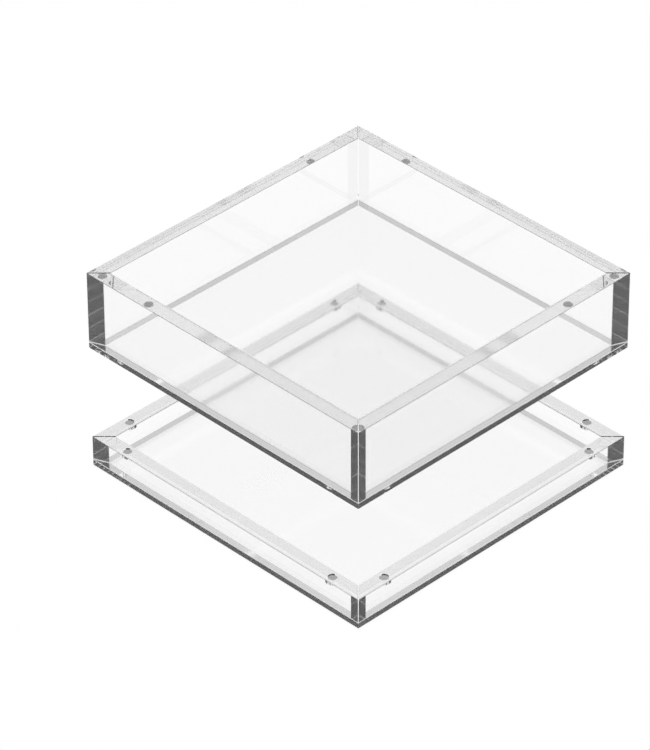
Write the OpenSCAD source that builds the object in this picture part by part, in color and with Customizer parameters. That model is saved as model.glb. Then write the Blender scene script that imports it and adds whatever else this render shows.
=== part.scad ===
// Two-part clear acrylic display tray.
// A shallow base tray and a deeper upper tray share one square outline. Each is four mitred
// walls glued onto a thin floor plate. Disc magnets in the base tray's rim pull on disc magnets
// in the upper tray's floor plate, under its walls, and hold the upper tray on the base tray.
// The origin is the middle of the base tray's underside, with +Z up. Sizes are millimetres.

/* [Trays] */
// Outer length of each side of both trays
outer_w = 270; // [200:5:400]
// Thickness of the sheet that the walls are cut from
wall_t = 12; // [10:0.5:20]
// Thickness of the sheet that the floor plates are cut from
floor_t = 4.5; // [4:0.5:10]
// Overall height of the lower tray
lower_h = 25; // [15:0.5:60]
// Overall height of the upper tray
upper_h = 64; // [20:0.5:150]
// Gap between the lower tray's rim and the upper tray's underside, when lifted off for display
lift = 78; // [0.5:0.5:200]

/* [Edges and glue lines] */
// Thickness of the clear glue line between two glued faces
glue_t = 0.5; // [0.1:0.1:0.6]
// Leg of the fine polished chamfer along the edges of each sheet
edge_chamfer = 0.25; // [0.05:0.05:0.8]
// Leg of the chamfer down each outer corner of a tray
corner_chamfer = 0.4; // [0.1:0.1:1.5]

/* [Magnets] */
// Diameter of a disc magnet
magnet_d = 7; // [4:0.5:8]
// Thickness of a disc magnet
magnet_h = 3; // [1:0.5:3]
// Leg of the chamfer around both faces of a magnet
magnet_chamfer = 0.25; // [0.1:0.05:0.4]
// Distance along a wall from the tray's corner to the middle of a magnet
magnet_inset = 31; // [20:0.5:60]
// Radial gap between a magnet and its pocket, filled with glue
pocket_gap = 0.1; // [0.05:0.05:0.4]
// Depth of a lower magnet's face below the lower tray's rim
lower_recess = 0.6; // [0.1:0.1:1]
// Depth of an upper magnet's face below the top of the upper floor plate
upper_recess = 0.1; // [0.05:0.05:0.5]

/* [Hidden] */
$fn = 64;
half_w = outer_w / 2;
upper_z = lower_h + lift;
// Leg of the chamfer along each mitred end. Were it equal to edge_chamfer, three chamfers would
// meet in one point and the wall's mesh would not close.
mitre_chamfer = 1.2 * edge_chamfer;
// Room left behind a magnet for its drop of glue
pocket_spare = 0.2;
// How far a cutting shape runs past the face it cuts
past = 1;
ACRYLIC = [0.93, 0.94, 0.95, 0.35];
NICKEL = [0.66, 0.66, 0.67];

// Side 0 faces -Y. Each next side is a quarter turn further, seen from above.
SIDES = ["front", "right", "back", "left"];
// The two ends of a side: towards the side before it and towards the side after it
ENDS = [-1, 1];

function wall_name(tray, side) = str(tray, "_", SIDES[side], "_wall");
function magnet_name(tray, side, end) =
    str(tray, "_magnet_", SIDES[side], "_near_", SIDES[(side + 4 + end) % 4]);

// Outline of a rectangle from [x0, y0] to [x1, y1] with its four corners cut off
module chamfered_rectangle(x0, y0, x1, y1, c) {
    polygon([
        [x0 + c, y0], [x1 - c, y0], [x1, y0 + c], [x1, y1 - c],
        [x1 - c, y1], [x0 + c, y1], [x0, y1 - c], [x0, y0 + c]
    ]);
}

// A tray's square outline with chamfered corners, from height z0 to height z1
module tray_block(z0, z1) {
    translate([0, 0, z0])
        linear_extrude(z1 - z0)
            chamfered_rectangle(-half_w, -half_w, half_w, half_w, corner_chamfer);
}

// A profile drawn in Y and Z, carried along X far enough to reach across the tray's diagonal
module along_x() {
    rotate([90, 0, 90])
        linear_extrude(2 * outer_w, center = true)
            children();
}

// Everything on the front side of the two mitre planes, chamfered along the planes' edges
module between_mitres(z0, z1) {
    intersection_for(turn = [45, -45])
        rotate([0, 0, turn])
            along_x()
                chamfered_rectangle(-2 * outer_w, z0, -glue_t / 2, z1, mitre_chamfer);
}

// The front wall of a tray, from height z0 to height z1
module front_wall(z0, z1) {
    intersection() {
        tray_block(z0, z1);
        along_x()
            chamfered_rectangle(-half_w, z0, wall_t - half_w, z1, edge_chamfer);
        between_mitres(z0, z1);
    }
}

// A floor plate with its underside at height z0
module floor_plate(z0) {
    intersection() {
        tray_block(z0, z0 + floor_t);
        along_x()
            chamfered_rectangle(-half_w, z0, half_w, z0 + floor_t, edge_chamfer);
        rotate([0, 0, 90])
            along_x()
                chamfered_rectangle(-half_w, z0, half_w, z0 + floor_t, edge_chamfer);
    }
}

// Turns a piece of the front side round to another side
module on_side(side) {
    rotate([0, 0, 90 * side])
        children();
}

// Moves a piece to one end's magnet position on the front side
module at_magnet(end) {
    translate([end * (half_w - magnet_inset), wall_t / 2 - half_w, 0])
        children();
}

// One disc magnet with its upper face at height top_z
module disc_magnet(top_z) {
    radius = magnet_d / 2;
    color(NICKEL)
        translate([0, 0, top_z - magnet_h])
            rotate_extrude()
                polygon([
                    [0, 0], [radius - magnet_chamfer, 0], [radius, magnet_chamfer],
                    [radius, magnet_h - magnet_chamfer], [radius - magnet_chamfer, magnet_h],
                    [0, magnet_h]
                ]);
}

// The pocket for a magnet whose upper face is recessed below an opening at height top_z
module magnet_pocket(top_z, recess) {
    depth = recess + magnet_h + pocket_spare;
    translate([0, 0, top_z - depth])
        cylinder(h = depth + past, d = magnet_d + 2 * pocket_gap);
}

module lower_floor() {
    color(ACRYLIC)
        floor_plate(0);
}

module upper_floor() {
    color(ACRYLIC)
        difference() {
            floor_plate(upper_z);
            for (side = [0:3], end = ENDS)
                on_side(side)
                    at_magnet(end)
                        magnet_pocket(upper_z + floor_t, upper_recess);
        }
}

module lower_wall(side) {
    color(ACRYLIC)
        on_side(side)
            difference() {
                front_wall(floor_t + glue_t, lower_h);
                for (end = ENDS)
                    at_magnet(end)
                        magnet_pocket(lower_h, lower_recess);
            }
}

module upper_wall(side) {
    color(ACRYLIC)
        on_side(side)
            front_wall(upper_z + floor_t + glue_t, upper_z + upper_h);
}

module lower_magnet(side, end) {
    on_side(side)
        at_magnet(end)
            disc_magnet(lower_h - lower_recess);
}

module upper_magnet(side, end) {
    on_side(side)
        at_magnet(end)
            disc_magnet(upper_z + floor_t - upper_recess);
}

lower_floor();
upper_floor();
for (side = [0:3]) {
    lower_wall(side);
    upper_wall(side);
    for (end = ENDS) {
        lower_magnet(side, end);
        upper_magnet(side, end);
    }
}
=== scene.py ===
"""Looks of the two-part clear acrylic display tray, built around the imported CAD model."""
import math

import bpy
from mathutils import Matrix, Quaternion, Vector


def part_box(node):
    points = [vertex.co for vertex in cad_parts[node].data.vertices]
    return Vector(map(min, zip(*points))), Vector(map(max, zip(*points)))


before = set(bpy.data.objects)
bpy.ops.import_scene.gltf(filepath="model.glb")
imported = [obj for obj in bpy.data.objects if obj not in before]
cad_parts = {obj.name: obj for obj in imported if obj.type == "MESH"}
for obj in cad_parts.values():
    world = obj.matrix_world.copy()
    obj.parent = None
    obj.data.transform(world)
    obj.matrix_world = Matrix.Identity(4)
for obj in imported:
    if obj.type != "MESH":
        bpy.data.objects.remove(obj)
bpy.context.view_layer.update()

scene = bpy.context.scene

# Cast acrylic: its refraction, the share of light that passes unclouded, and its absorption
IOR = 1.54
CLEAR_SHARE = 0.988
ABSORPTION_PER_METRE = 0.9

# Roughness of each surface, and the share by which it varies from place to place
WALL_ROUGHNESS, WALL_WEAR = 0.04, 0.2
FLOOR_ROUGHNESS, FLOOR_WEAR = 0.05, 0.15
EDGE_ROUGHNESS, EDGE_WEAR = 0.75, 0.15
NICKEL_ROUGHNESS, NICKEL_WEAR = 0.16, 0.25
BORE_ROUGHNESS = 0.06

# Size of each surface pattern in millimetres
WIPING_MARK_MM = 9.0
SCRAPER_CHATTER_MM = 1.2
NICKEL_MOTTLE_MM = 1.6
NICKEL_GRAIN_MM = 0.12
# Scale of the wiping marks along X, Y and Z, which makes them lower than they are long
WIPING_STRETCH = (1, 1, 3)
# Values of a noise pattern between which a surface goes from its least to its most
WIPING_REACH = (0.35, 0.65)
NOISE_REACH = (0.3, 0.7)

# Drill rings in a bore: their scale and waviness, and the strength and depth of their relief
RING_SCALE, RING_WAVINESS = 700.0, 1.0
RING_STRENGTH, RING_DEPTH = 0.15, 0.00003

# Nickel plating: its darker and lighter tones, and the strength and depth of its grain
NICKEL_DARK = (0.60, 0.60, 0.605, 1)
NICKEL_LIGHT = (0.70, 0.70, 0.705, 1)
GRAIN_STRENGTH, GRAIN_DEPTH = 0.2, 0.00001

# Material slots of a sheet
POLISHED, SCRAPED, BORED = 0, 1, 2
# A face is upright when its unit normal's Z part is below the first, and flat above the second
UPRIGHT, FLAT = 0.2, 0.98
# The smaller of a normal's X and Y parts is above this where a face is turned off both axes
TURNED = 0.1
# The normal's X and Y parts differ by less than this where a face lies along a diagonal
DIAGONAL = 0.02

# Studio: the brightness of the pale surface under the object and of the room around it
SURFACE_GLOW = 1.0
ROOM_GLOW = 0.6
# Heights in the sky, as sines, between which the room darkens from the one to the other
SWEEP_START = 0.04
SWEEP_END = 0.3
# Brightness of the painted shade on the surface under the base tray's walls, and the softness
# of that shade's edges
WALL_SHADE = 0.9
SHADE_EDGE = 0.0015
# How far past the shade on both sides its colour ramp reaches
SHADE_MARGIN = 0.01
STAGE_SIZE = 40.0
STAGE_GAP = 0.0005

# Camera: a long lens from above the front right corner
AZIMUTH_DEG = 45.0
ELEVATION_DEG = 35.446
ROLL_DEG = -0.26
DISTANCE = 3.7721
LENS_MM = 254.65
AIM_HEIGHT = 0.080
AIM_RIGHT = -0.02366
AIM_UP = -0.00072
CLIP_END = 100

# How often a ray may bounce, in all and by kind
MAX_BOUNCES = 16
GLOSSY_BOUNCES = 8
TRANSMISSION_BOUNCES = 16
TRANSPARENT_BOUNCES = 8


# ---------------------------------------------------------------- node helpers

def new_material(name):
    """A material with its node tree and its Principled shader."""
    material = bpy.data.materials.new(name)
    material.use_nodes = True
    tree = material.node_tree
    return material, tree, tree.nodes["Principled BSDF"]


def clear_material(name, clear_share):
    """A colourless material that refracts as acrylic does."""
    material, tree, shader = new_material(name)
    shader.inputs["Base Color"].default_value = (1, 1, 1, 1)
    shader.inputs["Transmission Weight"].default_value = clear_share
    shader.inputs["IOR"].default_value = IOR
    return material, tree, shader


def add(tree, kind, **properties):
    """A new node with the given properties."""
    made = tree.nodes.new(kind)
    for name, value in properties.items():
        setattr(made, name, value)
    return made


def noise(tree, size_mm, detail, stretch=(1, 1, 1)):
    """Noise in object space whose features are about size_mm across."""
    place = add(tree, "ShaderNodeTexCoord")
    scale = add(tree, "ShaderNodeMapping")
    scale.inputs["Scale"].default_value = stretch
    pattern = add(tree, "ShaderNodeTexNoise")
    pattern.inputs["Scale"].default_value = 1000.0 / size_mm
    pattern.inputs["Detail"].default_value = detail
    tree.links.new(place.outputs["Object"], scale.inputs["Vector"])
    tree.links.new(scale.outputs["Vector"], pattern.inputs["Vector"])
    return pattern.outputs["Fac"]


def spread(tree, value, low, high, to_low, to_high):
    """The value between low and high, carried to between to_low and to_high."""
    ramp = add(tree, "ShaderNodeMapRange")
    ramp.inputs["From Min"].default_value = low
    ramp.inputs["From Max"].default_value = high
    ramp.inputs["To Min"].default_value = to_low
    ramp.inputs["To Max"].default_value = to_high
    tree.links.new(value, ramp.inputs["Value"])
    return ramp.outputs["Result"]


def vary_roughness(tree, shader, pattern, reach, roughness, wear):
    """Roughness that follows a pattern, up to the share wear below and above its mean."""
    rough = spread(tree, pattern, *reach, roughness * (1 - wear), roughness * (1 + wear))
    tree.links.new(rough, shader.inputs["Roughness"])


def emboss(tree, shader, height, strength, depth):
    """Fine relief, with the depth in metres."""
    bump = add(tree, "ShaderNodeBump")
    bump.inputs["Strength"].default_value = strength
    bump.inputs["Distance"].default_value = depth
    tree.links.new(height, bump.inputs["Height"])
    tree.links.new(bump.outputs["Normal"], shader.inputs["Normal"])


# ---------------------------------------------------------------- materials

def acrylic(name, roughness, wear):
    """Clear cast acrylic: polished, very slightly clouded, and uneven where it was wiped."""
    material, tree, shader = clear_material(name, CLEAR_SHARE)
    marks = noise(tree, WIPING_MARK_MM, detail=4.0, stretch=WIPING_STRETCH)
    vary_roughness(tree, shader, marks, WIPING_REACH, roughness, wear)
    volume = add(tree, "ShaderNodeVolumeAbsorption")
    volume.inputs["Color"].default_value = (0, 0, 0, 1)
    volume.inputs["Density"].default_value = ABSORPTION_PER_METRE
    tree.links.new(volume.outputs["Volume"], tree.nodes["Material Output"].inputs["Volume"])
    return material


def scraped_edge():
    """The fine chamfer scraped along a sheet's edges, which stays matt."""
    material, tree, shader = clear_material("scraped_edge", clear_share=1.0)
    chatter = noise(tree, SCRAPER_CHATTER_MM, detail=1.0)
    vary_roughness(tree, shader, chatter, NOISE_REACH, EDGE_ROUGHNESS, EDGE_WEAR)
    return material


def drilled_bore():
    """The wall of a magnet's pocket, with the rings that the drill leaves."""
    material, tree, shader = clear_material("drilled_bore", clear_share=1.0)
    shader.inputs["Roughness"].default_value = BORE_ROUGHNESS
    place = add(tree, "ShaderNodeTexCoord")
    rings = add(tree, "ShaderNodeTexWave", bands_direction="Z")
    rings.inputs["Scale"].default_value = RING_SCALE
    rings.inputs["Distortion"].default_value = RING_WAVINESS
    tree.links.new(place.outputs["Object"], rings.inputs["Vector"])
    emboss(tree, shader, rings.outputs["Fac"], RING_STRENGTH, RING_DEPTH)
    return material


def nickel():
    """Nickel plating: satin, slightly uneven in tone, with a fine grain."""
    material, tree, shader = new_material("nickel")
    shader.inputs["Metallic"].default_value = 1.0
    mottle = noise(tree, NICKEL_MOTTLE_MM, detail=3.0)
    tone = add(tree, "ShaderNodeValToRGB")
    for stop, position, colour in zip(
            tone.color_ramp.elements, NOISE_REACH, (NICKEL_DARK, NICKEL_LIGHT)):
        stop.position = position
        stop.color = colour
    tree.links.new(mottle, tone.inputs["Fac"])
    tree.links.new(tone.outputs["Color"], shader.inputs["Base Color"])
    vary_roughness(tree, shader, mottle, NOISE_REACH, NICKEL_ROUGHNESS, NICKEL_WEAR)
    grain = noise(tree, NICKEL_GRAIN_MM, detail=1.0)
    emboss(tree, shader, grain, GRAIN_STRENGTH, GRAIN_DEPTH)
    return material


def slot_for(normal, is_floor, foot_is_clear):
    """The material slot of a sheet's face, told by the direction that the face points in."""
    x, y, z = (abs(part) for part in normal)
    turned = min(x, y) > TURNED
    if UPRIGHT < z < FLAT:
        at_foot = normal[2] < 0
        return POLISHED if turned or (at_foot and foot_is_clear) else SCRAPED
    if not (z < UPRIGHT and turned):
        return POLISHED
    if abs(x - y) < DIAGONAL:
        return SCRAPED if is_floor else POLISHED
    return BORED


def dress_nodes():
    """Gives every CAD node its materials."""
    wall = acrylic("polished_acrylic", WALL_ROUGHNESS, WALL_WEAR)
    plate = acrylic("satin_acrylic", FLOOR_ROUGHNESS, FLOOR_WEAR)
    edge = scraped_edge()
    bore = drilled_bore()
    plating = nickel()
    for name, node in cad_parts.items():
        node.data.materials.clear()
        if "magnet" in name:
            node.data.materials.append(plating)
            continue
        is_floor = name.endswith("_floor")
        # At the foot of the base tray's walls the chamfers look clear, as if filled with glue
        foot_is_clear = name.startswith("lower") and not is_floor
        for material in (plate if is_floor else wall, edge, bore):
            node.data.materials.append(material)
        for face in node.data.polygons:
            face.material_index = slot_for(face.normal, is_floor, foot_is_clear)


# ---------------------------------------------------------------- stage, light and camera

def painted_shade_under_walls(tree):
    """White with painted shade, darkening to WALL_SHADE under the base tray's walls."""
    lowest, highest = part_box("lower_front_wall")
    outer, inner = -lowest[1], -highest[1]
    start, end = inner - SHADE_MARGIN, outer + SHADE_MARGIN
    place = add(tree, "ShaderNodeTexCoord")
    parts = add(tree, "ShaderNodeSeparateXYZ")
    tree.links.new(place.outputs["Object"], parts.inputs["Vector"])
    reach = add(tree, "ShaderNodeMath", operation="MAXIMUM")
    for socket, axis in zip(reach.inputs, "XY"):
        size = add(tree, "ShaderNodeMath", operation="ABSOLUTE")
        tree.links.new(parts.outputs[axis], size.inputs[0])
        tree.links.new(size.outputs["Value"], socket)
    band = add(tree, "ShaderNodeValToRGB")
    stops = (
        (inner - SHADE_EDGE, 1.0), (inner + SHADE_EDGE, WALL_SHADE),
        (outer - SHADE_EDGE, WALL_SHADE), (outer + SHADE_EDGE, 1.0),
    )
    while len(band.color_ramp.elements) < len(stops):
        band.color_ramp.elements.new(1.0)
    for stop, (distance, level) in zip(band.color_ramp.elements, stops):
        stop.position = (distance - start) / (end - start)
        stop.color = (level, level, level, 1)
    across = spread(tree, reach.outputs["Value"], start, end, 0, 1)
    tree.links.new(across, band.inputs["Fac"])
    return band.outputs["Color"]


def stage_floor():
    """The pale, evenly glowing surface that the base tray stands on, with shade painted into
    its colour under the base tray's walls.
    """
    bpy.ops.mesh.primitive_plane_add(size=STAGE_SIZE, location=(0, 0, -STAGE_GAP))
    floor = bpy.context.object
    floor.name = "stage_floor"
    material = bpy.data.materials.new("stage_floor")
    material.use_nodes = True
    tree = material.node_tree
    tree.nodes.clear()
    glow = add(tree, "ShaderNodeEmission")
    glow.inputs["Strength"].default_value = SURFACE_GLOW
    # The surface's colour carries painted shade under the base tray's walls
    tree.links.new(painted_shade_under_walls(tree), glow.inputs["Color"])
    output = add(tree, "ShaderNodeOutputMaterial")
    tree.links.new(glow.outputs["Emission"], output.inputs["Surface"])
    floor.data.materials.append(material)
    # Nearly every ray ends on the lit surface or in the room, so neither is aimed at
    material.cycles.emission_sampling = "NONE"


def room_light():
    """Soft light from all round, as bright as the surface near the horizon, where they join."""
    world = bpy.data.worlds.new("studio")
    world.use_nodes = True
    scene.world = world
    world.cycles.sampling_method = "NONE"
    tree = world.node_tree
    place = add(tree, "ShaderNodeTexCoord")
    parts = add(tree, "ShaderNodeSeparateXYZ")
    tree.links.new(place.outputs["Generated"], parts.inputs["Vector"])
    glow = spread(tree, parts.outputs["Z"], SWEEP_START, SWEEP_END, SURFACE_GLOW, ROOM_GLOW)
    tree.links.new(glow, tree.nodes["Background"].inputs["Color"])


def camera():
    """The camera, placed by its direction from the object."""
    lens = bpy.data.cameras.new("camera")
    lens.lens = LENS_MM
    lens.clip_end = CLIP_END
    made = bpy.data.objects.new("camera", lens)
    scene.collection.objects.link(made)
    scene.camera = made
    azimuth = math.radians(AZIMUTH_DEG)
    elevation = math.radians(ELEVATION_DEG)
    back = Vector((
        math.sin(azimuth) * math.cos(elevation),
        -math.cos(azimuth) * math.cos(elevation),
        math.sin(elevation),
    ))
    right = Vector((math.cos(azimuth), math.sin(azimuth), 0))
    up = back.cross(right)
    middle = Vector((0, 0, AIM_HEIGHT))
    made.location = middle + back * DISTANCE
    aim = middle + right * AIM_RIGHT + up * AIM_UP
    level = (aim - made.location).to_track_quat("-Z", "Y")
    made.rotation_mode = "QUATERNION"
    made.rotation_quaternion = level @ Quaternion((0, 0, 1), math.radians(ROLL_DEG))


def render_settings():
    """How light travels: enough passes through the clear sheets, and plain colours."""
    scene.view_settings.view_transform = "Standard"
    cycles = scene.cycles
    cycles.use_denoising = True
    cycles.denoising_input_passes = "RGB_ALBEDO"
    cycles.max_bounces = MAX_BOUNCES
    cycles.glossy_bounces = GLOSSY_BOUNCES
    cycles.transmission_bounces = TRANSMISSION_BOUNCES
    cycles.transparent_max_bounces = TRANSPARENT_BOUNCES


dress_nodes()
stage_floor()
room_light()
camera()
render_settings()
